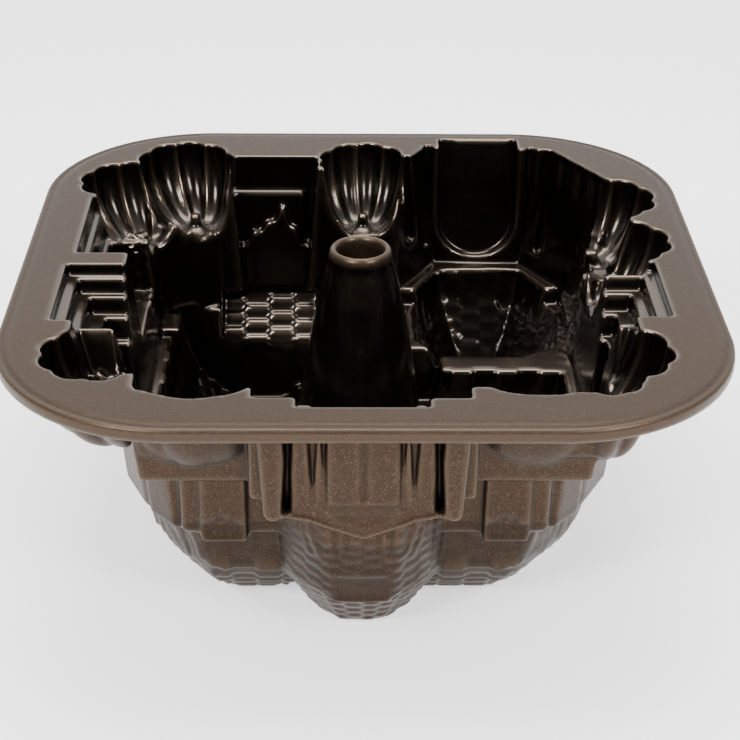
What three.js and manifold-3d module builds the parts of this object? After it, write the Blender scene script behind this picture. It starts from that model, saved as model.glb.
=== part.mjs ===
// Cast bundt pan whose cavity is a haunted manor house standing on its roof.
// Origin: middle of the pan's footprint, at the lowest point of the casting.
// +X is right, +Y is away from the front porch, +Z is up. All sizes are in millimetres.
// The casting is a single shell. It is modelled as one shell and then parted, on flat
// planes, into the regions that a person would name.
import * as THREE from 'three';
import { mergeVertices } from 'three/addons/utils/BufferGeometryUtils.js';
import Module from 'manifold-3d';

const wasm = await Module();
wasm.setup();

// ---- driving dimensions ----
const RIM_WIDTH = 267;
const RIM_CORNER_RADIUS = 68;
const RIM_THICKNESS = 4;
const RIM_CORNER_STEPS = 8;
const BEAD_WIDTH = 5;
const BEAD_HEIGHT = 6;
const BEAD_BEVEL = 1;
const PAN_HEIGHT = 112;
const WALL = 3.5;
const MIDDLE_X = -1.5;
const TUBE_RISE = 4.5;
const WALL_FOOT_DEPTH = 62;
const ROOF_DEPTH = PAN_HEIGHT - WALL;
const TUBE_FOOT_DEPTH = 88;
const TUBE_SIDES = 32;
const CUT_ABOVE = 1;

const COATING = { color: 0x5e5148, roughness: 0.42, metalness: 0.6 };

// ---- solids ----
function toSolid(geometry) {
  const bare = geometry.clone();
  bare.deleteAttribute('normal');
  bare.deleteAttribute('uv');
  const merged = mergeVertices(bare, 1e-4);
  return new wasm.Manifold(new wasm.Mesh({
    numProp: 3,
    vertProperties: Float32Array.from(merged.attributes.position.array),
    triVerts: Uint32Array.from(merged.index.array),
  }));
}

function toMesh(name, solid, color) {
  const mesh = solid.getMesh();
  const geometry = new THREE.BufferGeometry();
  geometry.setAttribute('position', new THREE.BufferAttribute(mesh.vertProperties, 3));
  geometry.setIndex(new THREE.BufferAttribute(mesh.triVerts, 1));
  geometry.computeVertexNormals();
  const part = new THREE.Mesh(geometry, new THREE.MeshStandardMaterial({ ...COATING, color }));
  part.name = name;
  return part;
}

const joinAll = (solids) => solids.reduce((whole, solid) => whole.add(solid));

// Levels are { depth, outline } pairs from the top down, each outline with the same
// number of points, anticlockwise from above. Depth is measured down from the rim's top.
function loft(levels) {
  const first = levels[0].outline;
  const last = levels.length - 1;
  const geometry = new THREE.ExtrudeGeometry(new THREE.Shape(first), {
    depth: last,
    steps: last,
    bevelEnabled: false,
  });
  const position = geometry.attributes.position;
  for (let i = 0; i < position.count; i += 1) {
    const x = position.getX(i);
    const y = position.getY(i);
    const corner = first.findIndex((p) => Math.hypot(p.x - x, p.y - y) < 1e-3);
    const level = levels[last - Math.round(position.getZ(i))];
    const point = level.outline[corner];
    position.setXYZ(i, point.x, point.y, PAN_HEIGHT - level.depth);
  }
  return toSolid(geometry);
}

// Moves every side of an outline inwards by a distance, or outwards by a negative one.
function inset(outline, distance) {
  return outline.map((point, i) => {
    const before = outline[(i + outline.length - 1) % outline.length];
    const after = outline[(i + 1) % outline.length];
    const a = point.clone().sub(before).normalize();
    const b = after.clone().sub(point).normalize();
    const inwardA = new THREE.Vector2(-a.y, a.x);
    const inwardB = new THREE.Vector2(-b.y, b.x);
    const mitre = inwardA.add(inwardB);
    return point.clone().add(mitre.multiplyScalar(2 * distance / mitre.lengthSq()));
  });
}

const outlineOf = (pairs) => pairs.map(([x, y]) => new THREE.Vector2(x, y));

const rectangle = (xMin, xMax, yMin, yMax) => outlineOf([
  [xMin, yMin], [xMax, yMin], [xMax, yMax], [xMin, yMax],
]);

// A cavity volume and the skin that the metal gives it: the same loft, one wall larger.
function volume(levels) {
  const top = levels[0];
  const bottom = levels[levels.length - 1];
  const grown = levels.map(({ depth, outline }) => ({ depth, outline: inset(outline, -WALL) }));
  grown[grown.length - 1].depth = bottom.depth + WALL;
  const lid = { depth: top.depth - CUT_ABOVE, outline: top.outline };
  return { cavity: loft([lid, ...levels]), skin: loft(grown) };
}

// [depth, inset] pairs on one outline
const tapered = (outline, steps) => volume(
  steps.map(([depth, amount]) => ({ depth, outline: inset(outline, amount) })),
);

// [depth, xMin, xMax, yMin, yMax] rows
const block = (...rows) => volume(
  rows.map(([depth, ...sides]) => ({ depth, outline: rectangle(...sides) })),
);

// ---- the house ----
const HOUSE = outlineOf([
  [-93, -56], [-84, -76], [-66, -96], [66, -96], [84, -76], [95, -56], [95, 92],
  [-64, 90], [-93, 76],
]);
const LEFT_ROOF = outlineOf([
  [-83, -56], [-74, -72], [-60, -87], [-12, -87], [-12, 80], [-83, 80],
]);
const RIGHT_ROOF = outlineOf([
  [12, -87], [60, -87], [74, -72], [85, -56], [85, 24], [12, 24],
]);
const ROOF_STEPS = [[62, 0], [74, 1.5], [94, 9], [ROOF_DEPTH, 24]];

function houseVolumes() {
  return [
    tapered(HOUSE, [[0, 0], [64, 5.5]]),
    tapered(LEFT_ROOF, ROOF_STEPS),
    tapered(RIGHT_ROOF, ROOF_STEPS),
    block([62, -20, 20, 20, 82], [92, -20, 20, 20, 73], [100, -16, 16, 20, 64]),
    block([62, -36, 34, -66, 44], [TUBE_FOOT_DEPTH, -32, 30, -60, 40]),
  ];
}

// Back left: a flat wall with a window, over a shingled slope.
function windowVolumes() {
  return [
    block([0, -57, -19, 60, 104.5], [60, -57, -20, 60, 99.5]),
    block([59.5, -60, -20, 60, 99], [78, -60, -20, 60, 80]),
  ];
}

// ---- the octagonal tower, back right ----
const TOWER_TOP = outlineOf([
  [10, 48], [30, 24], [74, 24], [103, 40], [106, 80], [86, 113], [28, 115.5], [10, 84],
]);
const TOWER_EAVE = outlineOf([
  [16, 50], [32, 30], [70, 30], [92, 44], [95, 77], [76, 113], [32, 112], [16, 84],
]);

function towerVolumes() {
  return [
    volume([{ depth: 0, outline: TOWER_TOP }, { depth: 56.5, outline: TOWER_EAVE }]),
    tapered(TOWER_EAVE, [[56, 5], [70, 8], [ROOF_DEPTH, 30]]),
  ];
}

// A pocket in a wall: an outline drawn on the wall as (x, depth) points and pushed from
// nearY to farY. Its far face leans towards the cavity by a fraction of the depth.
function wallPocket(points, nearY, farY, lean = 0.06) {
  const side = Math.sign(farY - nearY);
  const drawn = points.map(([x, depth]) => new THREE.Vector2(x, PAN_HEIGHT - depth));
  const push = (outline, far) => {
    const geometry = new THREE.ExtrudeGeometry(new THREE.Shape(outline), {
      depth: Math.abs(far - nearY),
      steps: 1,
      bevelEnabled: false,
    });
    geometry.rotateX(Math.PI / 2);
    geometry.translate(0, Math.max(nearY, far), 0);
    const position = geometry.attributes.position;
    for (let i = 0; i < position.count; i += 1) {
      if (Math.abs(position.getY(i) - far) < 0.01) {
        const depth = Math.max(PAN_HEIGHT - position.getZ(i), 0);
        position.setY(i, far - side * lean * depth);
      }
    }
    return toSolid(geometry);
  };
  return { cavity: push(drawn, farY), skin: push(inset(drawn, -WALL), farY + side * WALL) };
}

// The straight sides and round foot of an arched opening, anticlockwise as seen from -Y.
function archPoints(middleX, halfWidth, springDepth, sides = 8) {
  const points = [];
  for (let i = 0; i <= sides; i += 1) {
    const angle = Math.PI + Math.PI * i / sides;
    points.push([
      middleX + halfWidth * Math.cos(angle),
      springDepth - halfWidth * Math.sin(angle),
    ]);
  }
  return [...points, [middleX + halfWidth, -CUT_ABOVE], [middleX - halfWidth, -CUT_ABOVE]];
}

// ---- pumpkins and bushes round the foot of the house ----
const PUMPKIN_STEPS = [[0, 1], [12, 0.99], [20, 0.9], [26, 0.72], [31, 0.45], [33, 0.2]];

function ribbedOutline(x, y, radiusX, radiusY, ribs, groove) {
  const points = [];
  for (let i = 0; i < ribs * 3; i += 1) {
    const angle = 2 * Math.PI * i / (ribs * 3);
    const reach = i % 3 === 0 ? 1 - groove : 1;
    points.push([x + radiusX * reach * Math.cos(angle), y + radiusY * reach * Math.sin(angle)]);
  }
  return outlineOf(points);
}

function squash(x, y, radiusX, radiusY, { ribs = 9, groove = 0.07, steps = PUMPKIN_STEPS } = {}) {
  const shape = (share, extra) => {
    const reachX = radiusX * share + extra;
    return ribbedOutline(x, y, reachX, radiusY * share + extra, ribs, groove * radiusX / reachX);
  };
  const levels = steps.map(([depth, share]) => ({ depth, outline: shape(share, 0) }));
  const grown = steps.map(([depth, share]) => ({ depth, outline: shape(share, WALL) }));
  grown[grown.length - 1].depth += WALL;
  const lid = { depth: -CUT_ABOVE, outline: levels[0].outline };
  return { cavity: loft([lid, ...levels]), skin: loft(grown) };
}

const BUSH_STEPS = [[0, 1], [14, 0.96], [22, 0.8], [27, 0.5]];
const PUMPKINS = {
  back_left_upper: [-77, 100, 20.5],
  back_left_lower: [-100, 77, 20],
  back_middle: [1, 101, 19.5],
  right_rear: [103, 60, 21],
  right_middle: [104, 17, 20],
  front_right: [89, -77, 21.5],
  front_right_small: [84, -96, 13],
  front_left: [-96, -79, 20.5],
};

function gardenVolumes() {
  const pumpkins = Object.values(PUMPKINS).map(([x, y, radius]) => squash(x, y, radius, radius));
  const bush = { ribs: 7, groove: 0.05, steps: BUSH_STEPS };
  return [...pumpkins, squash(-60, -97, 21, 14.5, bush), squash(60, -96, 21, 13, bush)];
}

// ---- side bays: a flight of steps down to a doorway, mirrored left and right ----
const BAY_STEPS = [
  [0, 5, 0, 0],
  [4.5, 11, 4.5, 3.5],
  [10.5, 18, 9, 7.5],
  [17.5, 27, 15, 11.5],
  [26.5, 52, 19, 15.5],
];

function bayVolumes(side, reach, yMin, yMax) {
  return BAY_STEPS.map(([top, bottom, back, narrow]) => {
    const draft = (bottom - top) * 0.08;
    const row = (depth, lean) => {
      const far = side * (reach - back - lean);
      const xs = side > 0 ? [70, far] : [far, -70];
      return [depth, ...xs, yMin + narrow + lean, yMax - narrow - lean];
    };
    return block(row(top, 0), row(bottom, draft));
  });
}

function leftRecessVolumes() {
  return [
    block([0, -113.5, -70, 4.5, 60], [8, -112.7, -70, 5, 59]),
    block([7.5, -110.5, -70, 6, 60], [20, -109.3, -70, 7, 59]),
    block([19.5, -107, -70, 8, 56], [42, -105, -70, 10, 54]),
  ];
}

// ---- arched door, back right ----
const ARCH_MIDDLE_X = 53;
const ARCH_HALF_WIDTH = 17.5;
const ARCH_LEAN = 0.148;

function archVolumes() {
  const arch = archPoints(ARCH_MIDDLE_X, ARCH_HALF_WIDTH, 36);
  return [wallPocket(arch, 80, 125.5, ARCH_LEAN)];
}

// ---- front porch: two columns, a door between them and a gable beneath ----
const COLUMN_OFFSET = 31;
const COLUMN_HALF_WIDTH = 5;
const DOOR_HALF_WIDTH = 17;

function porchVolumes() {
  const gable = [[-28, 43], [0, 54], [28, 43], [28, -1], [-28, -1]];
  const door = [[-17, 37], [17, 37], [18, -1], [-18, -1]];
  const shifted = (points) => points.map(([x, depth]) => [x + MIDDLE_X, depth]);
  const columns = [-1, 1].map((side) => wallPocket(
    archPoints(MIDDLE_X + side * COLUMN_OFFSET, COLUMN_HALF_WIDTH, 39),
    -80,
    -110.5,
    0.03,
  ));
  return [
    ...columns,
    wallPocket(shifted(gable), -70, -109, 0.04),
    wallPocket(shifted(door), -70, -117, 0.05),
    block([0, -24.5, 21.5, -117.5, -70], [4, -24.5, 21.5, -117.3, -70]),
    block([0, -81, 81, -103.5, -70], [36, -80, 80, -100, -70]),
  ];
}

// ---- front tower: a round tower whose roof is the lowest point of the pan ----
function frontTowerVolumes() {
  const ring = (y, radius) => {
    const points = [];
    for (let i = 0; i < 16; i += 1) {
      const angle = 2 * Math.PI * (i + 0.5) / 16;
      points.push([MIDDLE_X + radius * Math.cos(angle), y + radius * Math.sin(angle)]);
    }
    return outlineOf(points);
  };
  return [volume([
    { depth: 36, outline: ring(-81, 28) },
    { depth: 82, outline: ring(-80, 26.5) },
    { depth: ROOF_DEPTH, outline: ring(-68, 16) },
  ])];
}

// ---- centre tube ----
// [depth, outer radius] down the tube; the bore is one wall smaller
const TUBE_PROFILE = [[4, 13.6], [15, 16.4], [33, 19.8], [50, 22.6], [68, 25], [96, 28]];
const TUBE_CREST_RADIUS = 11.2;
const TUBE_WALL = 3;

function tubeLathe(points) {
  const geometry = new THREE.LatheGeometry(outlineOf(points), TUBE_SIDES);
  geometry.rotateX(Math.PI / 2);
  geometry.translate(MIDDLE_X, 0, 0);
  return toSolid(geometry);
}

function tubeSolids() {
  const crest = PAN_HEIGHT + TUBE_RISE;
  const outside = TUBE_PROFILE.map(([depth, radius]) => [radius, PAN_HEIGHT - depth]).reverse();
  const rising = [[12.4, PAN_HEIGHT + 2.6], [TUBE_CREST_RADIUS + 0.6, crest - 0.3]];
  const top = [[TUBE_CREST_RADIUS - 0.6, crest], [0, crest]];
  const low = PAN_HEIGHT - TUBE_PROFILE[TUBE_PROFILE.length - 1][0];
  const body = tubeLathe([[0, low], ...outside, ...rising, ...top]);
  const bore = TUBE_PROFILE.map(([depth, radius]) => [radius - TUBE_WALL, PAN_HEIGHT - depth]);
  const hole = tubeLathe([
    [0, low - 20],
    [bore[bore.length - 1][0] + 1, low - 20],
    ...bore.reverse(),
    [9, PAN_HEIGHT + 2],
    [9.8, crest + 1],
    [0, crest + 1],
  ]);
  return { body, hole };
}

// ---- rim ----
function rimOutline(shrink) {
  const half = RIM_WIDTH / 2 - shrink;
  const radius = RIM_CORNER_RADIUS - shrink;
  const points = [];
  [[1, 1], [-1, 1], [-1, -1], [1, -1]].forEach(([sx, sy], quarter) => {
    for (let i = 0; i <= RIM_CORNER_STEPS; i += 1) {
      const angle = (quarter + i / RIM_CORNER_STEPS) * Math.PI / 2;
      points.push([
        sx * (half - radius) + radius * Math.cos(angle),
        sy * (half - radius) + radius * Math.sin(angle),
      ]);
    }
  });
  return outlineOf(points);
}

function rimSolid() {
  const edge = (depth, shrink) => ({ depth, outline: rimOutline(shrink) });
  const bead = loft([
    edge(0, BEAD_BEVEL),
    edge(BEAD_BEVEL, 0),
    edge(BEAD_HEIGHT - BEAD_BEVEL, 0),
    edge(BEAD_HEIGHT, BEAD_BEVEL),
  ]);
  const under = loft([edge(RIM_THICKNESS, BEAD_WIDTH), edge(BEAD_HEIGHT + 1, BEAD_WIDTH)]);
  return bead.subtract(under);
}

// ---- the whole casting ----
function boxSolid([xMin, xMax], [yMin, yMax], [zMin, zMax]) {
  const geometry = new THREE.BoxGeometry(xMax - xMin, yMax - yMin, zMax - zMin);
  geometry.translate((xMin + xMax) / 2, (yMin + yMax) / 2, (zMin + zMax) / 2);
  return toSolid(geometry);
}

const FAR = 160;
const EVERYWHERE = [-FAR, FAR];
const RIM_UNDERSIDE = PAN_HEIGHT - RIM_THICKNESS;
const WALL_FOOT = PAN_HEIGHT - WALL_FOOT_DEPTH;
const TUBE_FOOT = PAN_HEIGHT - TUBE_FOOT_DEPTH;

function castPan() {
  const volumes = [
    ...houseVolumes(),
    ...windowVolumes(),
    ...towerVolumes(),
    ...archVolumes(),
    ...gardenVolumes(),
    ...bayVolumes(-1, 116, -53.5, -6.5),
    ...bayVolumes(1, 114.5, -50, -3),
    ...leftRecessVolumes(),
    ...porchVolumes(),
    ...frontTowerVolumes(),
  ];
  const tube = tubeSolids();
  const belowRim = boxSolid(EVERYWHERE, EVERYWHERE, [-FAR, PAN_HEIGHT - RIM_THICKNESS / 2]);
  const skin = joinAll(volumes.map((each) => each.skin)).intersect(belowRim);
  const cavity = joinAll(volumes.map((each) => each.cavity)).subtract(tube.body);
  const shell = skin.add(rimSolid()).subtract(cavity).subtract(tube.hole);
  const aboveRim = boxSolid(EVERYWHERE, EVERYWHERE, [RIM_UNDERSIDE, PAN_HEIGHT + FAR]);
  const tubeTop = tube.body.subtract(tube.hole).intersect(aboveRim);
  return shell.add(tubeTop);
}

// Regions of the casting: [x range], [y range] and a colour that tells them apart a little.
// Walls reach from the rim's underside to the foot of the walls, roofs lie below that.
const WALL_REGIONS = {
  back_left_upper_pumpkin_wall: [[-FAR, -58], [88, FAR]],
  back_left_lower_pumpkin_wall: [[-FAR, -58], [52, 88]],
  back_window_wall: [[-58, -18], [52, FAR]],
  back_pumpkin_wall: [[-18, 21], [52, FAR]],
  back_arch_wall: [[21, 80], [52, FAR]],
  back_right_pumpkin_corner: [[80, FAR], [38, FAR]],
  right_pumpkin_wall: [[52, FAR], [-3, 38]],
  right_bay_wall: [[52, FAR], [-58, -3]],
  front_right_pumpkin_corner: [[77, FAR], [-FAR, -58]],
  front_right_bush_wall: [[38, 77], [-FAR, -58]],
  front_porch: [[-40, 38], [-FAR, -40]],
  front_left_bush_wall: [[-78, -40], [-FAR, -58]],
  front_left_pumpkin_corner: [[-FAR, -78], [-FAR, -58]],
  left_bay_wall: [[-FAR, -52], [-58, 0]],
  left_recess_wall: [[-FAR, -52], [0, 52]],
};
const ROOF_REGIONS = {
  front_tower_roof: [[-34, 32], [-FAR, -44]],
  front_left_roof: [[-FAR, -34], [-FAR, 0]],
  back_left_roof: [[-FAR, -34], [0, FAR]],
  back_middle_roof: [[-34, 14], [40, FAR]],
  octagon_tower_roof: [[14, FAR], [40, FAR]],
  front_right_roof: [[32, FAR], [-FAR, 40]],
  tube_foot: [[-34, 32], [-44, 40]],
};
const REGION_COLOURS = [0x5e5148, 0x685a4f, 0x54483f];

const pan = castPan();
const group = new THREE.Group();
let count = 0;

function addRegion(name, solid) {
  const pieces = solid.decompose().filter((piece) => piece.volume() > 1e-3);
  if (pieces.length !== 1) {
    const sizes = pieces.map((piece) => piece.volume().toFixed(1));
    console.error(`${name} has ${pieces.length} bodies: ${sizes.join(' ')}`);
  }
  const color = REGION_COLOURS[count % REGION_COLOURS.length];
  group.add(toMesh(name, joinAll(pieces), color));
  count += 1;
}

const tubeZone = boxSolid([-30, 27], [-28, 28], [TUBE_FOOT, PAN_HEIGHT + FAR]);
const aboveUnderside = boxSolid(EVERYWHERE, EVERYWHERE, [RIM_UNDERSIDE, PAN_HEIGHT + FAR]);
const beadLip = rimSolid().subtract(aboveUnderside);
const house = pan.subtract(tubeZone).subtract(beadLip);
addRegion('rim_flange', house.intersect(aboveUnderside).add(beadLip));
addRegion('centre_tube', pan.intersect(tubeZone));
Object.entries(WALL_REGIONS).forEach(([name, [xs, ys]]) => {
  addRegion(name, house.intersect(boxSolid(xs, ys, [WALL_FOOT, RIM_UNDERSIDE])));
});
Object.entries(ROOF_REGIONS).forEach(([name, [xs, ys]]) => {
  addRegion(name, house.intersect(boxSolid(xs, ys, [-FAR, WALL_FOOT])));
});

export default group;
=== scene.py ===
# Cast bundt pan with a haunted-manor cavity: fine surface, materials, light and camera.
# The pan is one casting. Its cavity and its outside are built as one signed distance field,
# meshed once, and parted on the planes that bound the CAD nodes, one piece for each node.
import math
import bmesh
import bpy
import numpy as np
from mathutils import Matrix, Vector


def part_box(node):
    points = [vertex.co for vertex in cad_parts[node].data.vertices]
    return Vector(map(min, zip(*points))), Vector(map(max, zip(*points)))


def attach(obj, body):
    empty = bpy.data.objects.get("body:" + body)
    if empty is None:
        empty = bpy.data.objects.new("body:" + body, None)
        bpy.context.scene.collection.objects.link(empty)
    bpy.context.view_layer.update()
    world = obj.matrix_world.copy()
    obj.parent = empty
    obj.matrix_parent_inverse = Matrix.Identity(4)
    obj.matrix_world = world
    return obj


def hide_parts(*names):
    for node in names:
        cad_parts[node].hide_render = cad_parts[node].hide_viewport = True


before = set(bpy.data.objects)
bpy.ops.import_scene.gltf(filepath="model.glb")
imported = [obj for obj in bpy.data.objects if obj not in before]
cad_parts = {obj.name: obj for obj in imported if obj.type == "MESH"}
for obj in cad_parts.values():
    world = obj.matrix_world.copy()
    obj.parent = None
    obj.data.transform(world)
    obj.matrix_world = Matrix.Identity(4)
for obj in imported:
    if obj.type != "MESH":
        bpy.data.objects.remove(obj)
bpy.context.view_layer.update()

import openvdb
from mathutils import Quaternion, Vector

MM = 0.001
FLATNESS = 0.02
VOXEL = 0.8
FAR = 12.0
REACH = 160.0
WALL = 3.5
THINNEST_WALL = 2.3
RIM_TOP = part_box("rim_flange")[1][2] / MM
RIM_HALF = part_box("rim_flange")[1][0] / MM
CREST_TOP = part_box("centre_tube")[1][2] / MM
RIM_RADIUS = 68.0
RIM_THICKNESS = 4.0
BEAD_HEIGHT = 6.0
BEAD_WIDTH = 5.0
MIDDLE_X = -1.2
ROOF_DEPTH = RIM_TOP - WALL
WALL_FOOT_DEPTH = 62
TUBE_FOOT_DEPTH = 88
PUMPKIN_DEPTH, PUMPKIN_RIBS, PUMPKIN_GROOVE = 34, 9, 0.15
SHINGLE_COURSE, SHINGLE_WIDTH, SHINGLE_LAP = 5.4, 9.5, 2.2
COATING_DEPTH, COATING_FADE = 0.5, 0.9
PLANE_TOLERANCE = 2e-3
FLOOR_Z, FLOOR_GLOW = -0.6, 1.0


# ---- distance field on a grid; D is depth below the rim's top, in mm ----
class Field:
    def __init__(self):
        reach = RIM_HALF + 3
        self.x = np.arange(-reach, reach + VOXEL, VOXEL, dtype=np.float32)
        self.y = self.x.copy()
        self.z = np.arange(-3, CREST_TOP + 3, VOXEL, dtype=np.float32)
        self.values = np.full((len(self.x), len(self.y), len(self.z)), FAR, np.float32)

    def window(self, box):
        (x0, x1), (y0, y1), (d0, d1) = box
        spans = [(self.x, x0, x1), (self.y, y0, y1), (self.z, RIM_TOP - d1, RIM_TOP - d0)]
        cuts = [slice(*np.searchsorted(axis, (low - 6, high + 6))) for axis, low, high in spans]
        x = self.x[cuts[0]][:, None, None]
        y = self.y[cuts[1]][None, :, None]
        depth = RIM_TOP - self.z[cuts[2]][None, None, :]
        return tuple(cuts), x, y, depth

    def join(self, shape):
        box, measure = shape
        cuts, x, y, depth = self.window(box)
        self.values[cuts] = np.minimum(self.values[cuts], measure(x, y, depth))

    def cut(self, shape):
        box, measure = shape
        cuts, x, y, depth = self.window(box)
        self.values[cuts] = np.maximum(self.values[cuts], -measure(x, y, depth))


def blur(values, times):
    for _ in range(times):
        for axis in range(3):
            moved = np.moveaxis(values, axis, 0)
            inner = (moved[:-2] + 2 * moved[1:-1] + moved[2:]) * np.float32(0.25)
            moved[1:-1] = inner
    return values


# ---- shapes: each gives its box and a function of (x, y, depth); grow makes the outside ----
def polygon_box(*outlines):
    points = np.array([point for outline in outlines for point in outline])
    return [(points[:, i].min(), points[:, i].max()) for i in (0, 1)]


def taper(outline, top, bottom, lean, grow, end=None):
    """An upright prism on a convex outline. Each side leans in by lean per mm of depth,
    or reaches the matching side of the outline end."""
    end = end or outline

    def measure(x, y, depth):
        worst = np.maximum(top - depth, depth - bottom) - grow
        for i, (ax, ay) in enumerate(outline):
            bx, by = outline[(i + 1) % len(outline)]
            length = math.hypot(bx - ax, by - ay)
            nx, ny = (by - ay) / length, -(bx - ax) / length
            shift = (ax - end[i][0]) * nx + (ay - end[i][1]) * ny
            slope = lean + shift / (bottom - top)
            side = (x - ax) * nx + (y - ay) * ny + (depth - top) * slope
            worst = np.maximum(worst, side / math.hypot(1, slope) - grow)
        return worst

    return (*polygon_box(outline, end), (top, bottom)), measure


def box_outline(x0, x1, y0, y1):
    return [(x0, y0), (x1, y0), (x1, y1), (x0, y1)]


def block(x0, x1, y0, y1, top, bottom, lean, grow):
    return taper(box_outline(x0, x1, y0, y1), top, bottom, lean, grow)


def wall_pocket(profile, near, far, lean, depths, half_width, middle, grow):
    """A pocket pushed along y from near to far; profile(u, depth) is its 2D distance."""
    side = math.copysign(1, far - near)

    def measure(x, y, depth):
        worst = profile(x - middle, depth) - grow
        back = side * (y - far) + lean * depth
        return np.maximum(np.maximum(worst, back - grow), side * (near - y))

    spans = (middle - half_width, middle + half_width), tuple(sorted((near, far))), depths
    return spans, measure


def arch_profile(half_width, spring, narrowing=0.0):
    def profile(u, depth):
        half = half_width - narrowing * np.minimum(depth, spring)
        straight = np.abs(u) - half
        below = np.hypot(u, depth - spring) - half_width + narrowing * spring
        return np.where(depth > spring, below, straight)
    return profile


def lobed(x0, y0, rx, ry, bottom, ribs, groove, turn, grow, tilt=(0, 0)):
    """A ribbed pumpkin or bush: straight-sided at the rim, closing in a rounded foot whose
    middle is moved by tilt."""
    def measure(x, y, depth):
        down = np.clip(depth / bottom, 0, 1.3)
        dx = (x - x0 - tilt[0] * down ** 2) / rx
        dy = (y - y0 - tilt[1] * down ** 2) / ry
        rib = np.abs(np.sin((np.arctan2(dy, dx) + turn) * ribs / 2)) ** 0.6
        near = np.clip(np.hypot(dx, dy) / 0.35, 0, 1)
        dent = groove * (1 - rib) * (0.75 + 1.1 * down) * near
        spread = np.hypot(dx, dy) / (1 - dent)
        shell = (spread ** 2.2 + down ** 2.6) ** (1 / 2.3)
        centre = 0.2 * np.exp(-(np.hypot(dx, dy) / 0.26) ** 2)
        return (shell - 1 + centre) * (min(rx, ry, bottom) * 0.93) - grow
    return ((x0 - rx, x0 + rx), (y0 - ry, y0 + ry), (0, bottom)), measure


def stem(x0, y0, radius, top, bottom, grow, lean=0.0):
    def measure(x, y, depth):
        back = y - y0 + lean * depth
        angle = np.arctan2(back, x - x0)
        spread = np.hypot(x - x0, back) - radius * (1 + 0.16 * np.cos(5 * angle))
        return np.maximum(spread, np.maximum(top - depth, depth - bottom)) - grow
    return ((x0 - 6, x0 + 6), (y0 - 10, y0 + 6), (top, bottom)), measure


def stairs(value, along, step, width, seed):
    """Turns a slope into courses of shingles: a riser, then a tread, staggered by column."""
    column = np.floor(along / width)
    row_shift = 0.5 * np.mod(column, 2) + 0.22 * np.sin(column * 12.7 + seed)
    course = value / step + row_shift
    whole = np.floor(course)
    part = course - whole
    ramp = np.clip((part - 0.42) / 0.16, 0, 1)
    return step * (whole + 0.86 * ramp + 0.14 * part - row_shift)


def laps(value, along, step, width, seed):
    """How far a lapped shingle stands out: most at its edge nearest the eave."""
    course = value / step + 0.5 * np.mod(np.floor(along / width + seed), 2)
    part = course - np.floor(course)
    return np.clip((1 - part) * 1.15 - 0.15, 0, 1) - 0.5


def roof(outline, curve, grow, step=5.2, width=10.5, plain_sides=(), seed=1.0, lap=0.0):
    """A roof on a convex outline. Its curve gives (distance in, depth) pairs from the eave to
    the foot. Below the first pair's stretch the slope is laid in courses of shingles, which
    are steps, or laps that stand out by the given amount."""
    inward_at, depth_at = np.array(curve, np.float32).T
    steepness = np.diff(depth_at) / np.diff(inward_at)
    middles = (inward_at[1:] + inward_at[:-1]) / 2
    foot = depth_at[-1]

    def measure(x, y, depth):
        worst = np.maximum(depth_at[0] - depth, depth - foot) - grow
        for i, (ax, ay) in enumerate(outline):
            bx, by = outline[(i + 1) % len(outline)]
            length = math.hypot(bx - ax, by - ay)
            nx, ny = (by - ay) / length, -(bx - ax) / length
            inward = -((x - ax) * nx + (y - ay) * ny)
            if i in plain_sides:
                worst = np.maximum(worst, -inward - grow)
                continue
            along = (x - ax) * ny - (y - ay) * nx
            steep = np.interp(inward + grow, middles, steepness).astype(np.float32)
            inward = inward + grow * np.hypot(1, steep) / steep
            slope = np.interp(inward, inward_at, depth_at).astype(np.float32)
            slope = slope + np.minimum(inward, 0) * steepness[0]
            slope = slope + np.maximum(inward - inward_at[-1], 0) * steepness[-1]
            if lap:
                out = lap * laps(slope, along, step, width, i)
                worst = np.maximum(worst, (depth - slope) / np.hypot(1, steep) - out)
                continue
            tiled = stairs(slope, along, step, width, seed + i)
            slope = np.where(inward > inward_at[1] - 1, tiled, slope)
            worst = np.maximum(worst, (depth - slope) / np.hypot(1, steep))
        return worst
    return (*polygon_box(outline), (depth_at[0], foot)), measure


# A wall is (origin at the rim, direction along it, direction out of the cake, lean). Its
# reliefs are drawn as (u, depth) on the wall and lie between two distances out of it.
FRONT = ((0, -118), (1, 0), (0, -1), 0.05)
FRONT_WING = ((0, -99.5), (1, 0), (0, -1), 0.086)
LEFT_CORNER = ((-75, -86), (0.669, -0.743), (-0.743, -0.669), 0.086)
RIGHT_CORNER = ((75, -86), (0.669, 0.743), (0.743, -0.669), 0.086)
WINDOW = ((0, 104.5), (1, 0), (0, 1), 0.083)
DIAGONAL = ((95.5, 95), (0.511, -0.859), (0.859, 0.511), 0.25)
LEFT_SIDE = ((-96.5, 0), (0, 1), (-1, 0), 0.086)
RIGHT_SIDE = ((98.5, 0), (0, 1), (1, 0), 0.086)
BACK_SIDE = ((0, 95.5), (1, 0), (0, 1), 0.086)


def plate(wall, u_span, d_span, out_span, profile=None):
    (x0, y0), (tx, ty), (nx, ny), lean = wall
    middle, half = (u_span[0] + u_span[1]) / 2, (u_span[1] - u_span[0]) / 2

    def measure(x, y, depth):
        u = (x - x0) * tx + (y - y0) * ty
        out = (x - x0) * nx + (y - y0) * ny + lean * depth
        worst = np.maximum(np.abs(u - middle) - half,
                           np.maximum(d_span[0] - depth, depth - d_span[1]))
        if profile:
            worst = np.maximum(worst, profile(u, depth))
        return np.maximum(worst, np.maximum(out - out_span[1], out_span[0] - out))

    corners = [(x0 + u * tx + (out - lean * depth) * nx, y0 + u * ty + (out - lean * depth) * ny)
               for u in u_span for out in out_span for depth in d_span]
    return (*polygon_box(corners), d_span), measure


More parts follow.
